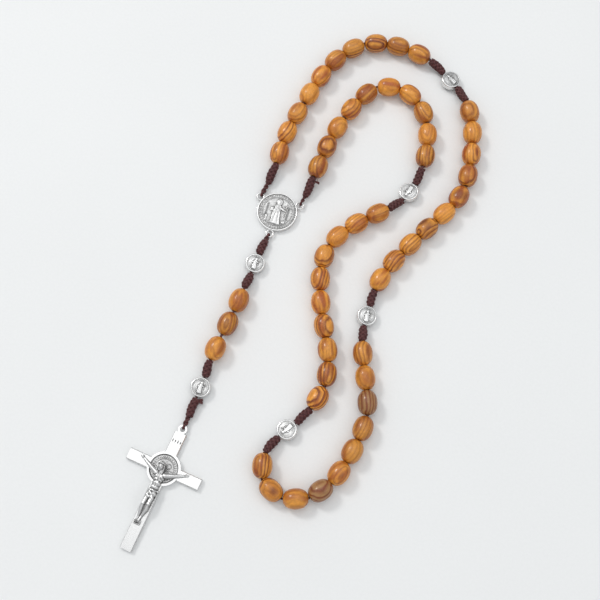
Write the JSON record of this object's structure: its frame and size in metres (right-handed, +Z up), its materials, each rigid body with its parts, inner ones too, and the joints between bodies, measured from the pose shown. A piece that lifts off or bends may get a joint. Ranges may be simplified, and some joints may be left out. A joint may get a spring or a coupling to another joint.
{
  "type": "rosary",
  "caption": "Corded rosary of oval wooden beads with knotted cord, round medals between the decades, a centre medal and a crucifix, laid in a loop on a flat surface.",
  "frame": {"origin": "centre of the flat back of the centre medal, on the surface that the rosary lies on", "axes": "+Z up from that surface, +Y along the length of the laid rosary towards the top of its loop, +X to the right"},
  "size_m": [0.1478, 0.2217, 0.0079],
  "materials": {
    "wood": "lacquered",
    "cord": "waxed",
    "silver": "antiqued cast"
  },
  "bodies": {
    "root": {"centre_medal": "silver"},
    "outer_left": {"cord_outer_left": "cord", "knot_left": "cord", "beads_outer_left": "wood"},
    "outer_rise": {"cord_outer_rise": "cord", "beads_outer_rise": "wood"},
    "outer_crown": {"cord_outer_crown": "cord", "beads_outer_crown": "wood"},
    "outer_turn": {"cord_outer_turn": "cord", "knot_1_before": "cord", "knot_1_after": "cord", "beads_outer_turn": "wood"},
    "outer_right": {"cord_outer_right": "cord", "beads_outer_right_a": "wood", "knot_2_before": "cord", "knot_2_after": "cord", "beads_outer_right_b": "wood"},
    "heel": {"cord_heel": "cord", "beads_heel_a": "wood", "knot_3_before": "cord", "knot_3_after": "cord", "beads_heel_b": "wood"},
    "inner_right": {"cord_inner_right": "cord", "beads_inner_right": "wood", "knot_4_before": "cord", "knot_4_after": "cord"},
    "inner_turn": {"cord_inner_turn": "cord", "beads_inner_turn": "wood"},
    "inner_crown": {"cord_inner_crown": "cord", "beads_inner_crown": "wood"},
    "inner_rise": {"cord_inner_rise": "cord", "beads_inner_rise": "wood"},
    "inner_left": {"cord_inner_left": "cord", "beads_inner_left": "wood", "knot_right": "cord"},
    "drop_upper": {"cord_drop_upper": "cord", "knot_drop_1": "cord", "knot_drop_2": "cord"},
    "drop_strand_1": {"cord_drop_bead_1": "cord"},
    "drop_strand_2": {"cord_drop_bead_2": "cord"},
    "drop_lower": {"cord_drop_lower": "cord", "knot_drop_3": "cord", "knot_drop_4": "cord"},
    "end_loop": {"cord_end_loop": "cord"},
    "crucifix": {"crucifix_cross": "silver", "cross_medal": "silver", "corpus": "silver"},
    "medal_1": {"medal_loop_1": "silver"},
    "medal_2": {"medal_loop_2": "silver"},
    "medal_3": {"medal_loop_3": "silver"},
    "medal_4": {"medal_loop_4": "silver"},
    "medal_5": {"medal_drop_upper": "silver"},
    "medal_6": {"medal_drop_lower": "silver"},
    "bead_1": {"bead_drop_1": "wood"},
    "bead_2": {"bead_drop_2": "wood"},
    "bead_3": {"bead_drop_3": "wood"}
  },
  "joints": [
    {"name": "left_ring_swing", "type": "hinge", "parent": "root", "child": "outer_left", "pos_m": [-0.00707, 0.00707, 0.0014], "axis": [0, 0, 1], "range_deg": [-8, 6]},
    {"name": "outer_rise_bend", "type": "hinge", "parent": "outer_left", "child": "outer_rise", "pos_m": [0.0113, 0.04914, 0.00395], "axis": [0, 0, 1], "range_deg": [-5.5, 7.3]},
    {"name": "outer_crown_bend", "type": "hinge", "parent": "outer_rise", "child": "outer_crown", "pos_m": [0.03808, 0.07832, 0.00395], "axis": [0, 0, 1], "range_deg": [-6, 6]},
    {"name": "outer_turn_bend", "type": "hinge", "parent": "outer_crown", "child": "outer_turn", "pos_m": [0.06692, 0.07038, 0.00395], "axis": [0, 0, 1], "range_deg": [-3.3, 3.3]},
    {"name": "outer_right_bend", "type": "hinge", "parent": "outer_turn", "child": "outer_right", "pos_m": [0.07973, 0.01037, 0.00395], "axis": [0, 0, 1], "range_deg": [-5, 9]},
    {"name": "heel_bend", "type": "hinge", "parent": "outer_right", "child": "heel", "pos_m": [0.03651, -0.08691, 0.00395], "axis": [0, 0, 1], "range_deg": [-8.9, 5]},
    {"name": "inner_right_bend", "type": "hinge", "parent": "heel", "child": "inner_right", "pos_m": [0.01951, -0.07535, 0.00395], "axis": [0, 0, 1], "range_deg": [-5.1, 9.1]},
    {"name": "inner_turn_bend", "type": "hinge", "parent": "inner_right", "child": "inner_turn", "pos_m": [0.06213, 0.01936, 0.00395], "axis": [0, 0, 1], "range_deg": [-9.3, 5.2]},
    {"name": "inner_crown_bend", "type": "hinge", "parent": "inner_turn", "child": "inner_crown", "pos_m": [0.06477, 0.03978, 0.00395], "axis": [0, 0, 1], "range_deg": [-5, 5]},
    {"name": "inner_rise_bend", "type": "hinge", "parent": "inner_crown", "child": "inner_rise", "pos_m": [0.04314, 0.05708, 0.00395], "axis": [0, 0, 1], "range_deg": [-7.8, 7.8]},
    {"name": "inner_left_bend", "type": "hinge", "parent": "inner_rise", "child": "inner_left", "pos_m": [0.02879, 0.04222, 0.00395], "axis": [0, 0, 1], "range_deg": [-7.7, 5.8]},
    {"name": "lower_ring_swing", "type": "hinge", "parent": "root", "child": "drop_upper", "pos_m": [-0.00309, -0.00951, 0.0014], "axis": [0, 0, 1], "range_deg": [-20, 6]},
    {"name": "drop_bend_1", "type": "hinge", "parent": "drop_upper", "child": "drop_strand_1", "pos_m": [-0.01334, -0.03443, 0.00395], "axis": [0, 0, 1], "range_deg": [-12, 12]},
    {"name": "drop_bend_2", "type": "hinge", "parent": "drop_strand_1", "child": "drop_strand_2", "pos_m": [-0.01746, -0.0444, 0.00395], "axis": [0, 0, -1], "range_deg": [-12, 12]},
    {"name": "drop_bend_3", "type": "hinge", "parent": "drop_strand_2", "child": "drop_lower", "pos_m": [-0.02224, -0.05438, 0.00395], "axis": [0, 0, 1], "range_deg": [-12, 12]},
    {"name": "end_loop_twist", "type": "hinge", "parent": "drop_lower", "child": "end_loop", "pos_m": [-0.03477, -0.08686, 0.0018], "axis": [-0.3975, -0.9149, -0.0712], "range_deg": [-180, 180]},
    {"name": "crucifix_swing", "type": "hinge", "parent": "end_loop", "child": "crucifix", "pos_m": [-0.037, -0.092, 0.0014], "axis": [0, 0, 1], "range_deg": [-20, 20]},
    {"name": "medal_loop_1_spin", "type": "hinge", "parent": "outer_turn", "child": "medal_1", "pos_m": [0.07597, 0.06115, 0.0022], "axis": [0.601, -0.7992, 0], "continuous": true},
    {"name": "medal_loop_2_spin", "type": "hinge", "parent": "outer_right", "child": "medal_2", "pos_m": [0.03706, -0.04564, 0.0022], "axis": [-0.2693, -0.9631, 0], "continuous": true},
    {"name": "medal_loop_3_spin", "type": "hinge", "parent": "heel", "child": "medal_3", "pos_m": [0.00456, -0.09228, 0.0022], "axis": [0.7809, 0.6246, 0], "continuous": true},
    {"name": "medal_loop_4_spin", "type": "hinge", "parent": "inner_right", "child": "medal_4", "pos_m": [0.05599, 0.00858, 0.0022], "axis": [0.6173, 0.7867, 0], "continuous": true},
    {"name": "medal_drop_upper_spin", "type": "hinge", "parent": "drop_upper", "child": "medal_5", "pos_m": [-0.00906, -0.02312, 0.0022], "axis": [-0.3444, -0.9388, 0], "continuous": true},
    {"name": "medal_drop_lower_spin", "type": "hinge", "parent": "drop_lower", "child": "medal_6", "pos_m": [-0.03031, -0.0752, 0.0022], "axis": [-0.353, -0.9356, 0], "continuous": true},
    {"name": "bead_drop_1_spin", "type": "hinge", "parent": "drop_strand_1", "child": "bead_1", "pos_m": [-0.01539, -0.03942, 0.00395], "axis": [-0.3812, -0.9245, 0], "continuous": true},
    {"name": "bead_drop_2_spin", "type": "hinge", "parent": "drop_strand_2", "child": "bead_2", "pos_m": [-0.01976, -0.04928, 0.00395], "axis": [-0.431, -0.9024, 0], "continuous": true},
    {"name": "bead_drop_3_spin", "type": "hinge", "parent": "drop_lower", "child": "bead_3", "pos_m": [-0.02453, -0.05956, 0.00395], "axis": [-0.3939, -0.9191, 0], "continuous": true}
  ],
  "couplings": [
    {"joint": "outer_rise_bend", "follows": "left_ring_swing", "ratio": -0.89397},
    {"joint": "inner_left_bend", "follows": "left_ring_swing", "ratio": 0.94581},
    {"joint": "outer_turn_bend", "follows": "outer_crown_bend", "ratio": -0.53209},
    {"joint": "inner_crown_bend", "follows": "outer_crown_bend", "ratio": 0.8189},
    {"joint": "inner_rise_bend", "follows": "outer_crown_bend", "ratio": -1.2868},
    {"joint": "heel_bend", "follows": "outer_right_bend", "ratio": -0.97518},
    {"joint": "inner_right_bend", "follows": "outer_right_bend", "ratio": 0.99926},
    {"joint": "inner_turn_bend", "follows": "outer_right_bend", "ratio": -1.0241}
  ]
}
